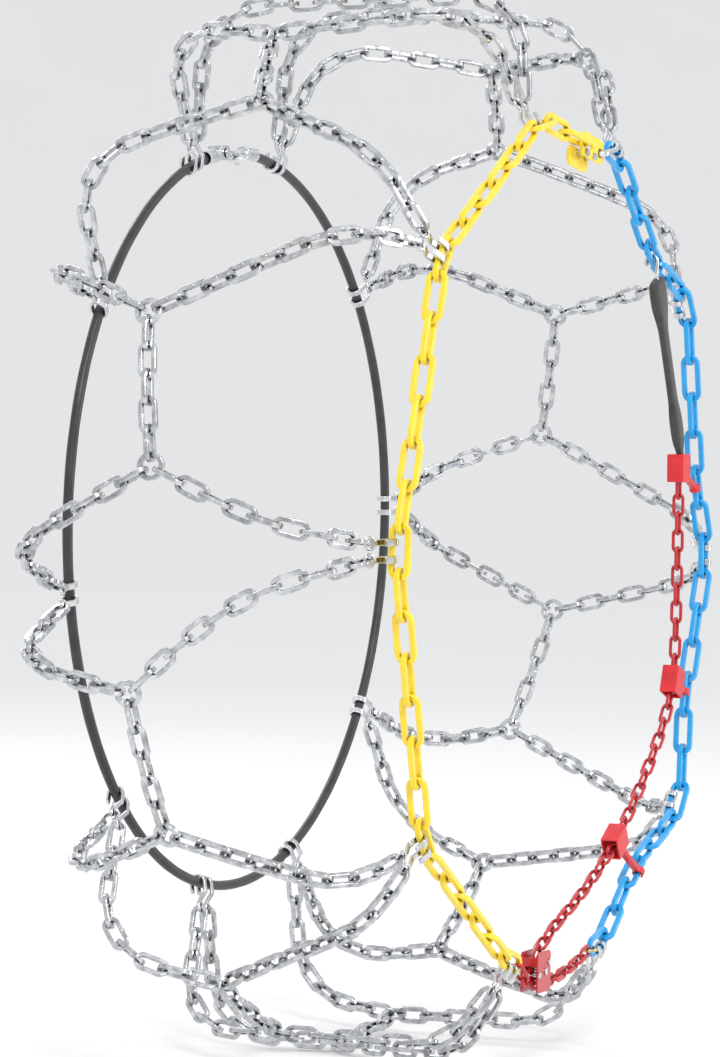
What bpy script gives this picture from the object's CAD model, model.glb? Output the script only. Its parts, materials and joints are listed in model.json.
import bmesh
import bpy
import json
import math
import numpy as np
from mathutils import Matrix, Vector


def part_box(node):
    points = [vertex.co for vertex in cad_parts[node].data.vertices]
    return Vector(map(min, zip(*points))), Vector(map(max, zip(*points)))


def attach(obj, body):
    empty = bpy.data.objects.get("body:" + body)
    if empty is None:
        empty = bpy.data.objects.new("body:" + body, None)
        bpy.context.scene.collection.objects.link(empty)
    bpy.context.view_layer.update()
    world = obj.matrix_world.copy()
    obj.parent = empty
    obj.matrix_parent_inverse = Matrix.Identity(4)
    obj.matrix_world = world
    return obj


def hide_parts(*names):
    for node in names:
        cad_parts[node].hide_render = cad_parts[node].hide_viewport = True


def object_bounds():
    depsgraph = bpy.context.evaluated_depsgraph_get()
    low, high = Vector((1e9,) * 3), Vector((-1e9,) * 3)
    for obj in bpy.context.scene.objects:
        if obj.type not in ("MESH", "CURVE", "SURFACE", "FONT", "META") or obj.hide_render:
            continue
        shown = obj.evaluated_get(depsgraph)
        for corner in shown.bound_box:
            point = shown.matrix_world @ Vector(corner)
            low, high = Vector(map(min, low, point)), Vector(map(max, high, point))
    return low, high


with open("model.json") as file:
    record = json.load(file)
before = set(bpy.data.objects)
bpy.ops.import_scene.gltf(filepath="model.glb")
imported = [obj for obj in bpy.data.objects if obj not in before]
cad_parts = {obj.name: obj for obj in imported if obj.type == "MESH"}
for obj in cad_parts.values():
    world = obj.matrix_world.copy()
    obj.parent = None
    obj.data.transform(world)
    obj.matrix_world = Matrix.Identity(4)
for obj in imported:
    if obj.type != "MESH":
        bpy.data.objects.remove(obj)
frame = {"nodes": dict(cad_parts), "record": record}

CAD_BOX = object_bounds()
MM = 0.001


# ------------------------------------------------------------------ camera
AZIMUTH = math.radians(-66.85)
ELEVATION = math.radians(0.5)
ROLL = math.radians(1.15)
DISTANCE = 2.66
LENS = 188.5
SHIFT = (-0.0488, -0.0072)


def add_camera():
    """A long lens low on the tread side, turned towards the coloured side chain."""
    back = Vector((math.sin(AZIMUTH) * math.cos(ELEVATION), -math.cos(AZIMUTH) * math.cos(ELEVATION),
                   math.sin(ELEVATION)))
    right = Vector((math.cos(AZIMUTH), math.sin(AZIMUTH), 0.0))
    up = back.cross(right)
    x = right * math.cos(ROLL) + up * math.sin(ROLL)
    y = up * math.cos(ROLL) - right * math.sin(ROLL)
    data = bpy.data.cameras.new("camera")
    data.lens = LENS
    data.sensor_width = 36.0
    data.sensor_fit = "HORIZONTAL"
    data.shift_x, data.shift_y = SHIFT
    camera = bpy.data.objects.new("camera", data)
    camera.matrix_world = Matrix.Translation(back * DISTANCE) @ Matrix((x, y, back)).transposed().to_4x4()
    bpy.context.scene.collection.objects.link(camera)
    bpy.context.scene.camera = camera


# ------------------------------------------------------------------ node materials
class Shader:
    """A small helper that builds one node material."""

    def __init__(self, name):
        self.material = bpy.data.materials.new(name)
        self.material.use_nodes = True
        self.tree = self.material.node_tree
        self.surface = self.tree.nodes["Principled BSDF"]
        self.where = self.add("ShaderNodeTexCoord").outputs["Object"]

    def add(self, kind, **values):
        node = self.tree.nodes.new(kind)
        for key, value in values.items():
            if hasattr(node, key):
                setattr(node, key, value)
            else:
                node.inputs[key.replace("_", " ")].default_value = value
        return node

    def link(self, output, target):
        self.tree.links.new(output, target)

    def noise(self, scale, detail=3.0, rough=0.55, stretch=None):
        node = self.add("ShaderNodeTexNoise", Scale=scale, Detail=detail, Roughness=rough)
        source = self.where
        if stretch:
            mapping = self.add("ShaderNodeMapping", Scale=stretch)
            self.link(source, mapping.inputs["Vector"])
            source = mapping.outputs["Vector"]
        self.link(source, node.inputs["Vector"])
        return node.outputs["Fac"]

    def spread(self, fac, low, high, from_low=0.3, from_high=0.7):
        node = self.add("ShaderNodeMapRange")
        limits = {"From Min": from_low, "From Max": from_high, "To Min": low, "To Max": high}
        for key, value in limits.items():
            node.inputs[key].default_value = value
        self.link(fac, node.inputs["Value"])
        return node.outputs["Result"]

    def blend(self, fac, first, second):
        """Mix two colours, each a tuple or an output."""
        node = self.add("ShaderNodeMix", data_type="RGBA")
        self.link(fac, node.inputs[0])
        for slot, value in ((6, first), (7, second)):
            if isinstance(value, tuple):
                node.inputs[slot].default_value = (*value, 1.0)
            else:
                self.link(value, node.inputs[slot])
        return node.outputs[2]

    def relief(self, heights):
        """Chained bumps from (height output, strength, distance in metres)."""
        normal = None
        for height, strength, distance in heights:
            bump = self.add("ShaderNodeBump", Strength=strength, Distance=distance)
            self.link(height, bump.inputs["Height"])
            if normal:
                self.link(normal, bump.inputs["Normal"])
            normal = bump.outputs["Normal"]
        self.link(normal, self.surface.inputs["Normal"])

    def shelter(self, distance, low, high):
        """1 in the corners where pieces meet and 0 on open faces."""
        node = self.add("ShaderNodeAmbientOcclusion", samples=6)
        node.inputs["Distance"].default_value = distance
        return self.spread(node.outputs["AO"], 1.0, 0.0, low, high)


def steel(name, bright, dark, rough, dimple):
    """Zinc-plated wire: cloudy brightness, drawing marks, dirt where links meet."""
    s = Shader(name)
    clouds = s.noise(160.0, 4.0)
    grain = s.noise(900.0, 5.0, 0.65)
    patches = s.noise(55.0, 2.0)
    colour = s.blend(s.spread(clouds, 0.0, 1.0), bright, dark)
    colour = s.blend(s.spread(patches, 0.0, 0.5, 0.55, 0.8), colour, (0.30, 0.29, 0.27))
    colour = s.blend(s.shelter(0.0025, 0.25, 0.75), colour, (0.035, 0.032, 0.03))
    s.link(colour, s.surface.inputs["Base Color"])
    s.surface.inputs["Metallic"].default_value = 1.0
    s.link(s.spread(grain, rough - 0.07, rough + 0.10), s.surface.inputs["Roughness"])
    s.relief([(clouds, 0.25, dimple), (grain, 0.2, dimple * 0.3)])
    return s.material


def paint(name, colour, deep, chip, rough=0.28):
    """Powder coat over chain wire: orange peel, uneven depth, a few chips to the steel."""
    s = Shader(name)
    peel = s.noise(700.0, 2.0)
    depth = s.noise(120.0, 3.0)
    tiny = s.noise(420.0, 6.0, 0.7)
    patches = s.noise(70.0, 2.0)
    tint = s.blend(s.spread(depth, 0.0, 0.6), colour, deep)
    tint = s.blend(s.shelter(0.0028, 0.2, 0.75), tint, tuple(c * 0.35 for c in deep))
    chips = s.add("ShaderNodeMath", operation="MULTIPLY")
    s.link(s.spread(tiny, 0.0, 1.0, 0.66, 0.69), chips.inputs[0])
    s.link(s.spread(patches, 0.0, 1.0, 0.52, 0.62), chips.inputs[1])
    tint = s.blend(chips.outputs[0], tint, chip)
    s.link(tint, s.surface.inputs["Base Color"])
    s.link(s.spread(tiny, rough - 0.06, rough + 0.12), s.surface.inputs["Roughness"])
    s.surface.inputs["Coat Weight"].default_value = 0.35
    s.surface.inputs["Coat Roughness"].default_value = 0.12
    s.relief([(peel, 0.12, 0.00015), (chips.outputs[0], 0.35, -0.00006)])
    return s.material


def plastic(name, colour, deep, rough):
    """Moulded plastic with fine texture and a faint flow pattern."""
    s = Shader(name)
    flow = s.noise(45.0, 3.0, 0.5, (1.0, 1.0, 2.5))
    fine = s.noise(1500.0, 3.0, 0.6)
    scuff = s.noise(260.0, 5.0, 0.7, (1.0, 1.0, 6.0))
    tint = s.blend(s.spread(flow, 0.0, 1.0), colour, deep)
    tint = s.blend(s.shelter(0.003, 0.2, 0.8), tint, tuple(c * 0.4 for c in deep))
    s.link(tint, s.surface.inputs["Base Color"])
    s.link(s.spread(scuff, rough - 0.08, rough + 0.14), s.surface.inputs["Roughness"])
    s.surface.inputs["Specular IOR Level"].default_value = 0.5
    s.relief([(fine, 0.18, 0.00008), (scuff, 0.15, 0.00010)])
    return s.material


def rubber(name):
    """Matt moulded rubber: speckled bloom, fine pores and soft scuffs."""
    s = Shader(name)
    bloom = s.noise(90.0, 5.0, 0.6)
    pores = s.noise(1900.0, 2.0)
    grain = s.noise(600.0, 4.0, 0.7)
    tint = s.blend(s.spread(bloom, 0.0, 1.0), (0.024, 0.025, 0.025), (0.052, 0.051, 0.049))
    tint = s.blend(s.spread(grain, 0.0, 0.5, 0.6, 0.75), tint, (0.085, 0.085, 0.08))
    s.link(tint, s.surface.inputs["Base Color"])
    s.link(s.spread(grain, 0.62, 0.85), s.surface.inputs["Roughness"])
    s.surface.inputs["Sheen Weight"].default_value = 0.15
    s.relief([(grain, 0.35, 0.0002), (pores, 0.3, 0.00012)])
    return s.material


LOOKS = {
    "net_steel": steel("net_steel", (0.72, 0.73, 0.75), (0.33, 0.34, 0.36), 0.19, 0.0004),
    "bright_steel": steel("bright_steel", (0.76, 0.77, 0.79), (0.50, 0.51, 0.53), 0.18, 0.0003),
    "yellow_paint": paint("yellow_paint", (0.93, 0.70, 0.03), (0.80, 0.53, 0.012), (0.45, 0.42, 0.36)),
    "blue_paint": paint("blue_paint", (0.004, 0.36, 0.76), (0.003, 0.25, 0.62), (0.35, 0.38, 0.42)),
    "red_paint": paint("red_paint", (0.52, 0.006, 0.014), (0.34, 0.003, 0.008), (0.40, 0.33, 0.32)),
    "red_plastic": plastic("red_plastic", (0.70, 0.022, 0.030), (0.55, 0.012, 0.018), 0.33),
    "cable_coat": plastic("cable_coat", (0.035, 0.035, 0.038), (0.022, 0.022, 0.024), 0.38),
    "brass_plate": steel("brass_plate", (0.78, 0.62, 0.30), (0.60, 0.45, 0.20), 0.26, 0.0002),
    "rubber": rubber("rubber"),
}


def paint_nodes():
    """Give every CAD node the look of its material slot."""
    for part in frame["record"]["subparts"]:
        look = LOOKS[part["material_slot"]]
        mesh = frame["nodes"][part["node"]].data
        mesh.materials.clear()
        mesh.materials.append(look)


# ------------------------------------------------------------------ refined pieces
BODY_OF = {node: body for body, members in frame["record"]["behaviour"]["bodies"].items()
           for node in members}
SLOT_OF = {part["node"]: part["material_slot"] for part in frame["record"]["subparts"]}


def points_of(node):
    """A CAD node's vertices as an array, in metres."""
    mesh = frame["nodes"][node].data
    flat = np.empty(len(mesh.vertices) * 3)
    mesh.vertices.foreach_get("co", flat)
    return flat.reshape(-1, 3)


def finish_piece(piece, node):
    """Hand a new piece its look, its body and the CAD node that it stands for."""
    piece.data.materials.clear()
    piece.data.materials.append(LOOKS[SLOT_OF[node]])
    for face in piece.data.polygons:
        face.use_smooth = True
    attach(piece, BODY_OF[node])
    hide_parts(node)


def new_piece(name, verts, faces):
    """A new mesh object in the scene."""
    mesh = bpy.data.meshes.new(name)
    mesh.from_pydata([tuple(v) for v in verts], [], faces)
    mesh.update()
    piece = bpy.data.objects.new(name, mesh)
    bpy.context.scene.collection.objects.link(piece)
    return piece


MERGE = 1e-6


def moulded(node, voxel, rounds):
    """A copy of a sharp-edged CAD piece with its edges and inner corners rounded."""
    mesh = frame["nodes"][node].data.copy()
    work = bmesh.new()
    work.from_mesh(mesh)
    bmesh.ops.remove_doubles(work, verts=work.verts, dist=MERGE)
    work.to_mesh(mesh)
    work.free()
    rough = bpy.data.objects.new(node + "_rough", mesh)
    bpy.context.scene.collection.objects.link(rough)
    remesh = rough.modifiers.new("remesh", "REMESH")
    remesh.mode = "VOXEL"
    remesh.voxel_size = voxel
    smooth = rough.modifiers.new("smooth", "SMOOTH")
    smooth.factor = 0.5
    smooth.iterations = rounds
    graph = bpy.context.evaluated_depsgraph_get()
    final = bpy.data.meshes.new_from_object(rough.evaluated_get(graph))
    bpy.data.objects.remove(rough)
    piece = bpy.data.objects.new(node + "_shape", final)
    bpy.context.scene.collection.objects.link(piece)
    finish_piece(piece, node)


def oval(width, thick, sharp, count):
    """Points of a rounded rectangle; a larger sharp gives squarer corners."""
    points = []
    for i in range(count):
        turn = 2 * math.pi * i / count
        c, s = math.cos(turn), math.sin(turn)
        points.append((math.copysign(abs(c) ** (2 / sharp), c) * thick / 2,
                       math.copysign(abs(s) ** (2 / sharp), s) * width / 2))
    return points


def loft(rings):
    """Vertices and faces of a closed skin through rings of equal count, with flat caps."""
    count = len(rings[0])
    verts = [point for ring in rings for point in ring]
    faces = []
    for r in range(len(rings) - 1):
        for i in range(count):
            j = (i + 1) % count
            faces.append((r * count + i, r * count + j, (r + 1) * count + j, (r + 1) * count + i))
    faces.append(tuple(reversed(range(count))))
    last = (len(rings) - 1) * count
    faces.append(tuple(range(last, last + count)))
    return verts, faces


# The strap's stations: distance from the head's end, or from the foot's end when negative,
# then width and thickness, all in millimetres.
STRAP_HEAD = ((0.0, 13.0, 4.6), (0.5, 16.2, 6.4), (1.6, 19.0, 8.0), (3.6, 20.6, 8.8), (8.0, 21.0, 9.0),
              (17.0, 20.9, 9.0), (21.0, 19.8, 8.9), (27.0, 16.6, 8.1), (33.0, 13.2, 6.9),
              (39.0, 11.0, 5.9), (46.0, 10.5, 5.6))
STRAP_FOOT = ((-54.0, 10.4, 5.5), (-49.0, 10.9, 5.9), (-44.0, 12.2, 6.8), (-39.0, 13.5, 7.4),
              (-34.0, 14.0, 7.6), (-25.0, 13.8, 7.6), (-19.5, 13.0, 7.2), (-15.5, 11.4, 6.4),
              (-12.0, 9.4, 5.2), (-8.0, 8.0, 3.6), (0.0, 8.0, 3.6))


STRAP_SQUARENESS = 3.4
STRAP_POINTS = 40
STRAP_SUBDIVISIONS = 2


def strap_line():
    """The strap's two ends and its side directions, from the narrowest way to box it in."""
    points = points_of("rubber_tensioner")
    best = None
    for step in range(-450, 451):
        lean = math.radians(step * 0.1)
        across = np.array((math.cos(lean), 0.0, math.sin(lean)))
        reach = points @ across
        if best is None or reach.max() - reach.min() < best[0]:
            best = (reach.max() - reach.min(), across, (reach.max() + reach.min()) / 2)
    across, middle = best[1], best[2]
    down = np.array((across[2], 0.0, -across[0]))
    reach = points @ down
    y = (points[:, 1].max() + points[:, 1].min()) / 2
    start = across * middle + down * reach.min() + np.array((0.0, y, 0.0))
    return start, down, across, reach.max() - reach.min()


def make_strap():
    """The rubber strap: block head, slim neck and swelling foot in one smooth form."""
    start, down, across, length = strap_line()
    stations = [(t * MM, w, h) for t, w, h in STRAP_HEAD]
    stations += [(length + t * MM, w, h) for t, w, h in STRAP_FOOT]
    side = np.array((0.0, 1.0, 0.0))
    rings = []
    for t, width, thick in stations:
        centre = start + down * t
        outline = oval(width, thick, STRAP_SQUARENESS, STRAP_POINTS)
        rings.append([centre + side * (y * MM) + across * (x * MM) for y, x in outline])
    piece = new_piece("strap", *loft(rings))
    subdivide = piece.modifiers.new("fine", "SUBSURF")
    subdivide.levels = subdivide.render_levels = STRAP_SUBDIVISIONS
    finish_piece(piece, "rubber_tensioner")


# The cable's coat: how far its valleys lie in, how far its lobes rise, as shares of the radius,
# and the length over which the strands turn by one lobe.
STRANDS = 6
COAT_VALLEY = 0.955
COAT_LOBE = 0.04
STRAND_LAY = 0.045
CABLE_STEPS = 1300
CABLE_POINTS = 30


def make_cable():
    """The coated cable: its strands show as shallow spiral lobes under the coat."""
    low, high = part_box("hoop_cable")
    thick = (high.y - low.y) / 2
    reach = (high.x - low.x) / 2 - thick
    middle = ((high.x + low.x) / 2, (high.y + low.y) / 2)
    points = points_of("hoop_cable")
    turns = np.sort(np.unique(np.round(np.arctan2(points[:, 2], points[:, 0] - middle[0]), 5)))
    gaps = np.diff(np.append(turns, turns[0] + 2 * math.pi))
    widest = int(np.argmax(gaps))
    first = turns[(widest + 1) % len(turns)]
    sweep = 2 * math.pi - gaps[widest]
    rings = []
    for k in range(CABLE_STEPS + 1):
        angle = first + sweep * k / CABLE_STEPS
        out = np.array((math.cos(angle), 0.0, math.sin(angle)))
        centre = np.array((middle[0], middle[1], 0.0)) + out * reach
        lay = sweep * k / CABLE_STEPS * reach / STRAND_LAY * 2 * math.pi / STRANDS
        ring = []
        for i in range(CABLE_POINTS):
            turn = 2 * math.pi * i / CABLE_POINTS
            radius = thick * (COAT_VALLEY + COAT_LOBE * abs(math.cos(STRANDS / 2 * (turn - lay))))
            ring.append(centre + out * (radius * math.cos(turn))
                        + np.array((0.0, radius * math.sin(turn), 0.0)))
        rings.append(ring)
    piece = new_piece("cable", *loft(rings))
    finish_piece(piece, "hoop_cable")


CHAIN_NODES = [node for node in SLOT_OF if node == "net_connectors" or "_legs_" in node]
# The weld on one leg of every net link: its half length, and its radius at the middle and at
# the ends as shares of half the wire's thickness.
BEAD_LENGTH = 1.7 * MM
BEAD_SWELL = 1.24
BEAD_END = 0.86
BEAD_POINTS = 16
BEAD_RINGS = 7


def link_frames(node):
    """Centre, long way, wide way and thin way, with half sizes, of every link in a CAD node."""
    work = bmesh.new()
    work.from_mesh(frame["nodes"][node].data)
    bmesh.ops.remove_doubles(work, verts=work.verts, dist=MERGE)
    seen, links = set(), []
    for vert in work.verts:
        if vert.index in seen:
            continue
        stack, island = [vert], []
        seen.add(vert.index)
        while stack:
            now = stack.pop()
            island.append(now.co[:])
            for edge in now.link_edges:
                other = edge.other_vert(now)
                if other.index not in seen:
                    seen.add(other.index)
                    stack.append(other)
        cloud = np.array(island)
        middle = cloud.mean(axis=0)
        ways = np.linalg.svd(cloud - middle, full_matrices=False)[2]
        reach = (cloud - middle) @ ways.T
        centre = middle + ways.T @ ((reach.max(axis=0) + reach.min(axis=0)) / 2)
        links.append((centre, ways, (reach.max(axis=0) - reach.min(axis=0)) / 2))
    work.free()
    return links


def make_welds(node):
    """Weld collars round the middle of one leg of every link: a soft swelling of the wire."""
    verts, faces = [], []
    rounds, rings = BEAD_POINTS, BEAD_RINGS
    for centre, (way, wide, thin), (_, half_wide, half_thin) in link_frames(node):
        leg = centre + wide * (half_wide - half_thin)
        base = len(verts)
        for k in range(rings):
            t = -1 + 2 * k / (rings - 1)
            size = half_thin * (BEAD_END + (BEAD_SWELL - BEAD_END) * math.sqrt(1 - t * t))
            for i in range(rounds):
                turn = 2 * math.pi * i / rounds
                verts.append(leg + way * (t * BEAD_LENGTH) + wide * (size * math.cos(turn))
                             + thin * (size * math.sin(turn)))
        for k in range(rings - 1):
            for i in range(rounds):
                j = (i + 1) % rounds
                faces.append((base + k * rounds + i, base + k * rounds + j,
                              base + (k + 1) * rounds + j, base + (k + 1) * rounds + i))
        faces.append(tuple(base + i for i in reversed(range(rounds))))
        faces.append(tuple(base + (rings - 1) * rounds + i for i in range(rounds)))
    verts = np.clip(np.array(verts), np.array(CAD_BOX[0]), np.array(CAD_BOX[1]))
    piece = new_piece(node + "_welds", verts, faces)
    piece.data.materials.append(LOOKS[SLOT_OF[node]])
    for face in piece.data.polygons:
        face.use_smooth = len(face.vertices) == 4
    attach(piece, BODY_OF[node])


# Node, voxel in metres and smoothing rounds for the pieces whose edges are rounded.
MOULDED = (
    ("guide_clip_lower", 0.00032, 22), ("guide_clip_middle", 0.00032, 22),
    ("guide_clip_upper", 0.00032, 22),
    ("lock_housing", 0.00024, 4), ("lock_pawl", 0.00018, 3),
    ("closure_plate_front", 0.00026, 5), ("closure_plate_rear", 0.00026, 5),
    ("outer_leg_hooks", 0.00036, 3), ("inner_leg_hooks", 0.00042, 3),
    ("hoop_eye", 0.00035, 4), ("hoop_clevis", 0.00035, 4),
)


# ------------------------------------------------------------------ stage
# Name, place, power in watts, width and height of each lamp; all of them face the origin.
LAMPS = (
    ("key", (-2.4, -1.6, 2.2), 48.0, 0.9, 0.9),
    ("side", (1.2, -2.6, 0.8), 22.0, 0.5, 1.8),
    ("back", (1.6, 2.2, 2.0), 24.0, 1.4, 1.0),
)
# The floor: its flat radius, the radius of the curve behind it, its points round the rim and
# its gap below the lowest link.
FLOOR_FLAT = 13.0
FLOOR_CURVE = 8.0
FLOOR_POINTS = 96
FLOOR_GAP = 0.0005


def area_light(name, place, power, width, height):
    data = bpy.data.lights.new(name, "AREA")
    data.shape = "RECTANGLE"
    data.size, data.size_y = width, height
    data.energy = power
    light = bpy.data.objects.new(name, data)
    light.location = place
    light.rotation_euler = (-Vector(place)).to_track_quat("-Z", "Y").to_euler()
    bpy.context.scene.collection.objects.link(light)


def add_stage():
    """A round pale floor whose rim curves up into a backdrop on every side."""
    low = CAD_BOX[0][2] - FLOOR_GAP
    profile = [(0.0, 0.0), (2.0, 0.0), (6.0, 0.0), (FLOOR_FLAT, 0.0)]
    for degrees in range(3, 82, 3):
        slope = math.radians(degrees)
        profile.append((FLOOR_FLAT + FLOOR_CURVE * math.sin(slope), FLOOR_CURVE * (1 - math.cos(slope))))
    count = FLOOR_POINTS
    verts, faces = [(0.0, 0.0, low)], []
    for radius, height in profile[1:]:
        for i in range(count):
            turn = 2 * math.pi * i / count
            verts.append((radius * math.cos(turn), radius * math.sin(turn), low + height))
    for i in range(count):
        faces.append((0, 1 + i, 1 + (i + 1) % count))
    for r in range(len(profile) - 2):
        for i in range(count):
            j = (i + 1) % count
            faces.append((1 + r * count + i, 1 + (r + 1) * count + i,
                          1 + (r + 1) * count + j, 1 + r * count + j))
    floor = new_piece("floor", verts, faces)
    for face in floor.data.polygons:
        face.use_smooth = True
    s = Shader("floor")
    mottle = s.noise(1.5, 2.0)
    s.link(s.blend(s.spread(mottle, 0.0, 1.0), (0.83, 0.83, 0.83), (0.82, 0.82, 0.82)),
           s.surface.inputs["Base Color"])
    s.surface.inputs["Roughness"].default_value = 0.85
    s.surface.inputs["Specular IOR Level"].default_value = 0.2
    floor.data.materials.append(s.material)


def add_light():
    world = bpy.data.worlds.new("studio")
    world.use_nodes = True
    world.node_tree.nodes["Background"].inputs["Color"].default_value = (0.98, 0.99, 1.0, 1.0)
    world.node_tree.nodes["Background"].inputs["Strength"].default_value = 1.0
    bpy.context.scene.world = world
    for lamp in LAMPS:
        area_light(*lamp)
    bpy.context.scene.view_settings.view_transform = "Standard"


add_camera()
paint_nodes()
for node, voxel, rounds in MOULDED:
    moulded(node, voxel, rounds)
make_strap()
make_cable()
for node in CHAIN_NODES:
    make_welds(node)
add_stage()
add_light()
